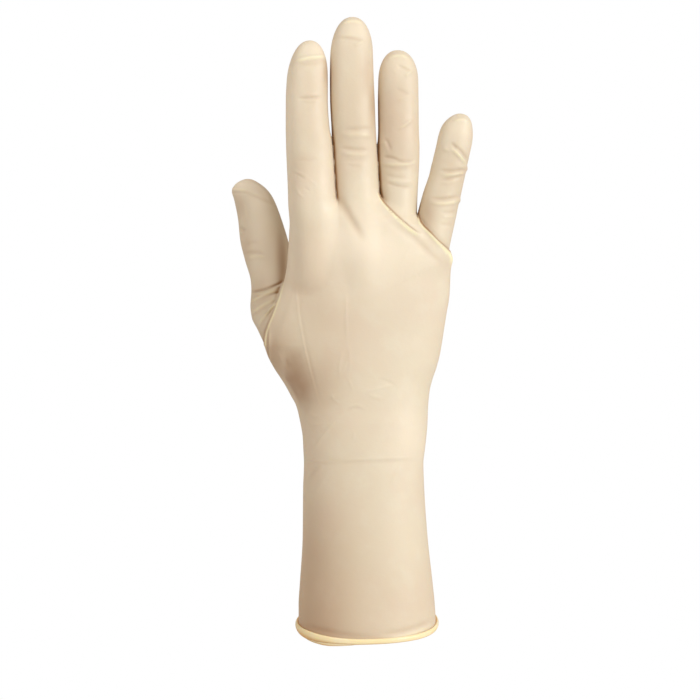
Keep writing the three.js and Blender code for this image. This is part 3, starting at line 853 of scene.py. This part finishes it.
def glove_film():
    """The outer and inner faces of the film, joined along the edge at the mouth."""
    field = film_field()
    faces = []
    for level, triangles in ((0.0, OUTER_TRIANGLES), (-FILM_WALL, INNER_TRIANGLES)):
        skin = folded_skin(field, level)
        thing = mesh_object("glove_film_skin", skin.points.tolist(), skin.faces.tolist())
        thing.data.shade_smooth()
        cut_at_mouth(thing)
        thinned(thing, triangles)
        faces.append(thing)
    film, inside = faces
    work = bmesh.new()
    work.from_mesh(inside.data)
    bmesh.ops.reverse_faces(work, faces=work.faces[:])
    work.from_mesh(film.data)
    rims = [e for e in work.edges if e.is_boundary]
    for edge in rims:
        edge.smooth = False
    bmesh.ops.bridge_loops(work, edges=rims)
    work.to_mesh(film.data)
    work.free()
    film.data.shade_smooth()
    bpy.data.objects.remove(inside)
    count = len(film.data.vertices)
    points, normals = np.empty(count * 3), np.empty(count * 3)
    film.data.vertices.foreach_get("co", points)
    film.data.vertices.foreach_get("normal", normals)
    points, normals = points.reshape(-1, 3), normals.reshape(-1, 3)
    # Painted highlights along rims and crests (partly the paler stretched film, in the stretched mark),
    # painted shade and painted pale light for the material
    _, bright, shade, pale = relief(*seen_from_eye(points))
    marked = faces_back(normals, MARKED_FACING)
    give_marks(
        film, stretched=bright * marked, shaded=shade * marked, drawn_pale=pale * marked,
        closed_in=closed_in(field, points, normals),
    )
    return film


# The rolled cuff

ROLL_STEPS = 300
ROLL_SIDES = 36
LEAST_RINGS = 24
# The roll's half sizes and its place against the mouth, which wanders a little on its way round
ROLL_THICK = 0.0008
ROLL_TALL = 0.00125
ROLL_DROP = -0.0006
ROLL_AWAY = 0.0006
WANDER = 0.0001
UPS_AND_DOWNS = 4
INS_AND_OUTS = 5
# Where it is looser, round the mouth, and what its half sizes gain there
LOOSE_MIDDLE = math.radians(218)
LOOSE_REACH = math.radians(56)
THICK_REACH = 1.0
LOOSE_THICK = 0.0003
LOOSE_TALL = 0.0008
# The strand that comes out from under it: where round the mouth, its half sizes, how far below the
# roll it lies, where it rises and by how much, and the share of its length in which it runs out
UNDER_START = math.radians(212)
UNDER_END = math.radians(262)
UNDER_SIZE = (0.0008, 0.0009)
UNDER_DROP = -0.0018
UNDER_RISES = (4.1, 4.55)
UNDER_RISE = 0.0005
UNDER_AWAY = 0.0007
UNDER_TAPER = 0.45
STRAND_TIP = 0.02
# The fine ridges of the laps that it is rolled from, and how often they wind round on the way
LAPS = 5
LAP_WINDINGS = 2
LAP_HEIGHT = 0.035
# Where round the roll's section it meets the film and where it faces down, how much of each side
# gets painted shade and how strongly, and where round the mouth the underside gets more painted shade, and
# by how much
ROLL_FILM_SIDE = math.radians(118)
ROLL_UNDERSIDE = math.radians(-72)
FILM_SIDE_FROM = 0.75
UNDERSIDE_FROM = 0.72
FILM_SIDE_SHADE = 0.85
UNDERSIDE_SHADE = 0.55
DUSK_MIDDLE = math.radians(200)
DUSK_REACH = math.radians(80)
DUSK_WIDENS = 0.9
DUSK_ADDS = 0.3


def mouth_point(angle, away):
    """A point of the sleeve's mouth, and the way out of the sleeve there."""
    def on_section(at):
        c, s = math.cos(at), math.sin(at)
        half_width = along(BODY, "left" if c < 0 else "right", np.array([0.0]))[0] + away
        half_depth = along(BODY, "back" if s < 0 else "palm", np.array([0.0]))[0] + away
        power = 2 / PALM_POWER
        return (
            half_width * math.copysign(abs(c) ** power, c),
            half_depth * math.copysign(abs(s) ** power, s),
        )
    step = math.pi / ROLL_STEPS / 2
    ahead, behind = on_section(angle + step), on_section(angle - step)
    outwards = Vector((ahead[1] - behind[1], behind[0] - ahead[0], 0)).normalized()
    x, y = on_section(angle)
    return Vector((x, y, mouth_height(x, y))), outwards


def roll_shade(turn, angle):
    """How much painted shade the roll gets round its section: next to the film, and underneath, where
    the painted shade is stronger towards the thumb side."""
    dusk = swell(angle, DUSK_MIDDLE, DUSK_REACH)
    by_film = smoothstep(FILM_SIDE_FROM, 1.0, math.cos(turn - ROLL_FILM_SIDE))
    below = smoothstep(UNDERSIDE_FROM - DUSK_WIDENS * dusk, 1.0, math.cos(turn - ROLL_UNDERSIDE))
    return float(FILM_SIDE_SHADE * by_film + (UNDERSIDE_SHADE + DUSK_ADDS * dusk) * below)


def strand(start, end, size, drop, away, taper=None):
    """One rolled strand of the cuff: a tube along the mouth from start to end, which goes all the
    way round, or else has two ends that taper."""
    closed = taper is None
    count = max(LEAST_RINGS, int(ROLL_STEPS * (end - start) / (2 * math.pi)))
    rings, shades = [], []
    for i in range(count if closed else count + 1):
        share = i / count
        angle = start + (end - start) * share
        tip = 1.0 if closed else min(1.0, math.sqrt(min(share, 1 - share) / taper) + STRAND_TIP)
        thick, tall = (side * tip for side in size(angle))
        middle, outwards = mouth_point(angle, away(angle))
        middle = middle + Vector((0, 0, drop(angle)))
        ring = []
        for k in range(ROLL_SIDES):
            turn = 2 * math.pi * k / ROLL_SIDES
            lapped = 1 + LAP_HEIGHT * math.cos(LAPS * turn + LAP_WINDINGS * angle)
            aside, up = thick * lapped * math.cos(turn), tall * lapped * math.sin(turn)
            ring.append(middle + outwards * aside + Vector((0, 0, up)))
            shades.append(roll_shade(turn, angle))
        rings.append(ring)
    points = np.array([[tuple(p) for p in ring] for ring in rings]).reshape(-1, 3)
    faces = []
    for i in range(len(rings) if closed else len(rings) - 1):
        for k in range(ROLL_SIDES):
            a, b = i * ROLL_SIDES + k, i * ROLL_SIDES + (k + 1) % ROLL_SIDES
            c, d = ((n + ROLL_SIDES) % len(points) for n in (a, b))
            faces.append((a, c, d, b))
    if not closed:
        faces.append(tuple(range(ROLL_SIDES)))
        faces.append(tuple(range(len(points) - 1, len(points) - 1 - ROLL_SIDES, -1)))
    return points.tolist(), faces, shades


def swell(angle, middle, reach):
    """1 at the middle angle, fading to 0 at its reach each way."""
    away = abs((angle - middle + math.pi) % (2 * math.pi) - math.pi)
    return float(smoothstep(reach, 0, away))


def rolled_cuff():
    """The film's end rolled on itself: one strand all round, broad and loose towards the thumb side
    of the back, and a second one that comes out from under it there and tucks away."""
    main = strand(
        0, 2 * math.pi,
        size=lambda a: (ROLL_THICK + LOOSE_THICK * swell(a, LOOSE_MIDDLE, THICK_REACH),
                        ROLL_TALL + LOOSE_TALL * swell(a, LOOSE_MIDDLE, LOOSE_REACH)),
        drop=lambda a: ROLL_DROP + WANDER * math.sin(UPS_AND_DOWNS * a),
        away=lambda a: ROLL_AWAY + WANDER * math.sin(INS_AND_OUTS * a),
    )
    under = strand(
        UNDER_START, UNDER_END,
        size=lambda a: UNDER_SIZE,
        drop=lambda a: ROLL_DROP + UNDER_DROP + UNDER_RISE * float(smoothstep(*UNDER_RISES, a)),
        away=lambda a: UNDER_AWAY,
        taper=UNDER_TAPER,
    )
    points, faces, shades = [], [], []
    for some_points, some_faces, some_shades in (main, under):
        base = len(points)
        points += some_points
        shades += some_shades
        faces += [tuple(base + i for i in f) for f in some_faces]
    cuff = mesh_object("rolled_cuff_strands", points, faces)
    cuff.data.shade_smooth()
    give_marks(cuff, shaded=np.array(shades))
    return cuff


# Materials: how strong the film's mottle and grain are, the share of fine wrinkles among the broad
# ones and how they are stretched, and how the rubber bends light and glows where it is thin
MOTTLE_AMOUNT = 0.5
GRAIN_AMOUNT = 0.16
FINE_SHARE = 0.35
WRINKLE_STRETCH = (1.0, 1.0, 2.2)
RUBBER_IOR = 1.5
GLOW_RADIUS = (1.0, 0.55, 0.28)
GLOW_SCALE = 0.004


def node_group(name, inputs, outputs):
    group = bpy.data.node_groups.new(name, "ShaderNodeTree")
    for label, kind, default in inputs:
        socket = group.interface.new_socket(name=label, in_out="INPUT", socket_type=kind)
        socket.default_value = default
    for label, kind in outputs:
        group.interface.new_socket(name=label, in_out="OUTPUT", socket_type=kind)
    return group


def film_texture_group():
    """Cloudy colour, fine wrinkles and uneven polish of dipped rubber film, with painted pale light,
    painted shade and painted highlights mixed into its colour.
    """
    group = node_group(
        "dipped_film",
        [
            ("Film", "NodeSocketColor", (0.8, 0.65, 0.42, 1)),
            ("Blush", "NodeSocketColor", (0.8, 0.5, 0.36, 1)),
            ("Pale", "NodeSocketColor", (0.9, 0.8, 0.6, 1)),
            ("Shade", "NodeSocketColor", (0.7, 0.45, 0.25, 1)),
            ("Rim", "NodeSocketColor", (0.95, 0.85, 0.5, 1)),
            ("Painted Light", "NodeSocketColor", (1.0, 0.9, 0.73, 1)),
            ("Blush Amount", "NodeSocketFloat", 0.3),
            ("Shaded", "NodeSocketFloat", 0.0),
            ("Painted Gap Shade", "NodeSocketFloat", 0.0),
            ("Stretched And Highlit", "NodeSocketFloat", 0.0),
            ("Painted Pale Light", "NodeSocketFloat", 0.0),
            ("Wrinkle Height", "NodeSocketFloat", 0.3),
            ("Roughness", "NodeSocketFloat", 0.42),
        ],
        [("Color", "NodeSocketColor"), ("Roughness", "NodeSocketFloat"), ("Height", "NodeSocketFloat")],
    )
    nodes, links = group.nodes, group.links
    given = nodes.new("NodeGroupInput")
    result = nodes.new("NodeGroupOutput")
    place = nodes.new("ShaderNodeTexCoord")

    def noise(scale, detail, roughness, stretch=None):
        """A noise over the piece's own place, in features per metre."""
        texture = nodes.new("ShaderNodeTexNoise")
        texture.inputs["Scale"].default_value = scale
        texture.inputs["Detail"].default_value = detail
        texture.inputs["Roughness"].default_value = roughness
        source = place.outputs["Object"]
        if stretch:
            mapping = nodes.new("ShaderNodeMapping")
            mapping.inputs["Scale"].default_value = stretch
            links.new(source, mapping.inputs["Vector"])
            source = mapping.outputs["Vector"]
        links.new(source, texture.inputs["Vector"])
        return texture.outputs["Fac"]

    def spread(value, low, high, to_low=0.0, to_high=1.0):
        """The value softly stretched from between low and high to another range."""
        ramp = nodes.new("ShaderNodeMapRange")
        ramp.interpolation_type = "SMOOTHSTEP"
        ramp.inputs["From Min"].default_value = low
        ramp.inputs["From Max"].default_value = high
        ramp.inputs["To Min"].default_value = to_low
        ramp.inputs["To Max"].default_value = to_high
        links.new(value, ramp.inputs["Value"])
        return ramp.outputs["Result"]

    def times(a, b):
        product = nodes.new("ShaderNodeMath")
        product.operation = "MULTIPLY"
        links.new(a, product.inputs[0])
        if isinstance(b, float):
            product.inputs[1].default_value = b
        else:
            links.new(b, product.inputs[1])
        return product.outputs[0]

    def plus(a, b):
        total = nodes.new("ShaderNodeMath")
        links.new(a, total.inputs[0])
        links.new(b, total.inputs[1])
        return total.outputs[0]

    def mixed(amount, a, b, way="MIX"):
        mix = nodes.new("ShaderNodeMix")
        mix.data_type = "RGBA"
        mix.blend_type = way
        links.new(amount, mix.inputs["Factor"])
        links.new(a, mix.inputs["A"])
        links.new(b, mix.inputs["B"])
        return mix.outputs["Result"]

    clouds = spread(noise(scale=38, detail=3, roughness=0.5), low=0.40, high=0.68)
    blush = times(clouds, given.outputs["Blush Amount"])
    mottle = spread(noise(scale=90, detail=4, roughness=0.55), low=0.45, high=0.75)
    colour = mixed(blush, given.outputs["Film"], given.outputs["Blush"])
    colour = mixed(times(mottle, MOTTLE_AMOUNT), colour, given.outputs["Pale"])
    grain = spread(noise(scale=2600, detail=2, roughness=0.7), low=0.35, high=0.65)
    colour = mixed(times(grain, GRAIN_AMOUNT), colour, given.outputs["Blush"])
    # Painted pale light, painted shade in the gaps, in creases and dusky places, and the rims' paler colour
    # with painted highlights
    colour = mixed(given.outputs["Painted Pale Light"], colour, given.outputs["Painted Light"])
    colour = mixed(given.outputs["Painted Gap Shade"], colour, given.outputs["Shade"], "MULTIPLY")
    colour = mixed(given.outputs["Shaded"], colour, given.outputs["Shade"], "MULTIPLY")
    colour = mixed(given.outputs["Stretched And Highlit"], colour, given.outputs["Rim"])
    links.new(colour, result.inputs["Color"])
    polish = spread(
        noise(scale=160, detail=3, roughness=0.6), low=0.3, high=0.7, to_low=-0.05, to_high=0.07
    )
    links.new(plus(given.outputs["Roughness"], polish), result.inputs["Roughness"])
    fine = noise(scale=700, detail=4, roughness=0.6, stretch=WRINKLE_STRETCH)
    broad = noise(scale=170, detail=3, roughness=0.5)
    height = plus(times(fine, FINE_SHARE), broad)
    links.new(times(height, given.outputs["Wrinkle Height"]), result.inputs["Height"])
    return group


def rubber_material(name, film_texture, values, marks, subsurface, bump_distance):
    material = bpy.data.materials.new(name)
    material.use_nodes = True
    nodes, links = material.node_tree.nodes, material.node_tree.links
    shader = nodes["Principled BSDF"]
    shader.inputs["IOR"].default_value = RUBBER_IOR
    shader.inputs["Subsurface Weight"].default_value = subsurface
    shader.inputs["Subsurface Radius"].default_value = GLOW_RADIUS
    shader.inputs["Subsurface Scale"].default_value = GLOW_SCALE
    texture = nodes.new("ShaderNodeGroup")
    texture.node_tree = film_texture
    for label, value in values.items():
        texture.inputs[label].default_value = value
    for label, mark in marks.items():
        reader = nodes.new("ShaderNodeAttribute")
        reader.attribute_name = mark
        links.new(reader.outputs["Fac"], texture.inputs[label])
    bump = nodes.new("ShaderNodeBump")
    bump.inputs["Strength"].default_value = 1.0
    bump.inputs["Distance"].default_value = bump_distance
    links.new(texture.outputs["Color"], shader.inputs["Base Color"])
    links.new(texture.outputs["Roughness"], shader.inputs["Roughness"])
    links.new(texture.outputs["Height"], bump.inputs["Height"])
    links.new(bump.outputs["Normal"], shader.inputs["Normal"])
    return material


dipped_film = film_texture_group()
latex_film = rubber_material(
    "latex_film", dipped_film,
    {
        "Film": (0.775, 0.697, 0.543, 1),
        "Blush": (0.77, 0.650, 0.515, 1),
        "Pale": (0.81, 0.755, 0.605, 1),
        # The shade colour is for painted shade, the rim colour is partly a painted highlight, and the last
        # colour is painted pale light
        "Shade": (0.44, 0.27, 0.155, 1),
        "Rim": (0.98, 0.93, 0.62, 1),
        "Painted Light": (1.0, 0.905, 0.73, 1),
        "Blush Amount": 0.45,
        "Wrinkle Height": 0.5,
        "Roughness": 0.52,
    },
    marks={
        "Shaded": "shaded",
        "Painted Gap Shade": "closed_in",
        "Stretched And Highlit": "stretched",
        "Painted Pale Light": "drawn_pale",
    },
    subsurface=0.15, bump_distance=0.00018,
)
cuff_rubber = rubber_material(
    "cuff_rubber", dipped_film,
    {
        "Film": (0.99, 0.86, 0.54, 1),
        "Blush": (0.95, 0.76, 0.42, 1),
        "Pale": (1.0, 0.94, 0.74, 1),
        # The shade colour is for the roll's painted shade
        "Shade": (0.72, 0.44, 0.18, 1),
        "Blush Amount": 0.3,
        "Wrinkle Height": 0.4,
        "Roughness": 0.36,
    },
    marks={"Shaded": "shaded"},
    subsurface=0.2, bump_distance=0.00015,
)

# The pieces

film = glove_film()
film.data.materials.append(latex_film)
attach(film, "root")
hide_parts("glove_film")

cuff = rolled_cuff()
cuff.data.materials.append(cuff_rubber)
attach(cuff, "root")
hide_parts("rolled_cuff")

# The studio

FLOOR_HEIGHT = -0.45
FLOOR_SIZE = 4.2
FLOOR_COLOUR = (0.9, 0.9, 0.9)
FLOOR_ROUGHNESS = 0.8
AMBIENT = 0.46
AMBIENT_COLOUR = (1.0, 0.80, 0.65)


def plain_material(name, colour, roughness):
    material = bpy.data.materials.new(name)
    material.use_nodes = True
    shader = material.node_tree.nodes["Principled BSDF"]
    shader.inputs["Base Color"].default_value = (*colour, 1)
    shader.inputs["Roughness"].default_value = roughness
    return material


def soft_light(name, place, aim, size, power):
    light = bpy.data.lights.new(name, "AREA")
    light.shape = "DISK"
    light.size = size
    light.energy = power
    thing = bpy.data.objects.new(name, light)
    thing.location = place
    thing.rotation_euler = (Vector(aim) - Vector(place)).to_track_quat("-Z", "Y").to_euler()
    bpy.context.scene.collection.objects.link(thing)


half = FLOOR_SIZE / 2
corners = [(x, y, FLOOR_HEIGHT) for x, y in ((-half, -half), (half, -half), (half, half), (-half, half))]
floor = mesh_object("pale_floor", corners, [(0, 1, 2, 3)])
floor.data.materials.append(plain_material("pale_floor_paint", FLOOR_COLOUR, FLOOR_ROUGHNESS))

soft_light("key_light", place=(1.39, -1.17, 0.97), aim=(0, 0, 0.13), size=0.9, power=26.5)
soft_light("fill_light", place=(-1.5, -0.55, 0.25), aim=(0, 0, 0.15), size=0.9, power=1.4)
soft_light("top_light", place=(-0.30, -0.40, 0.58), aim=(-0.01, 0, 0.22), size=0.35, power=1.1)

# The studio's air is white to the eye, and lights the glove more softly and warmly
world = bpy.data.worlds.new("pale_studio")
world.use_nodes = True
nodes, links = world.node_tree.nodes, world.node_tree.links
seen = nodes.new("ShaderNodeLightPath")
brightness = nodes.new("ShaderNodeMapRange")
brightness.inputs["To Min"].default_value = AMBIENT
brightness.inputs["To Max"].default_value = 1.0
links.new(seen.outputs["Is Camera Ray"], brightness.inputs["Value"])
links.new(brightness.outputs["Result"], nodes["Background"].inputs["Strength"])
tint = nodes.new("ShaderNodeMix")
tint.data_type = "RGBA"
tint.inputs["A"].default_value = (*AMBIENT_COLOUR, 1)
tint.inputs["B"].default_value = (1, 1, 1, 1)
links.new(seen.outputs["Is Camera Ray"], tint.inputs["Factor"])
links.new(tint.outputs["Result"], nodes["Background"].inputs["Color"])
scene = bpy.context.scene
scene.world = world
scene.view_settings.view_transform = "Standard"

camera_data = bpy.data.cameras.new("photo_camera")
camera_data.sensor_width = SENSOR
camera_data.lens = SENSOR * -EYE.y / PHOTO_WIDTH
camera = bpy.data.objects.new("photo_camera", camera_data)
camera.location = EYE
camera.rotation_euler = (math.pi / 2, 0, 0)
scene.collection.objects.link(camera)
scene.camera = camera
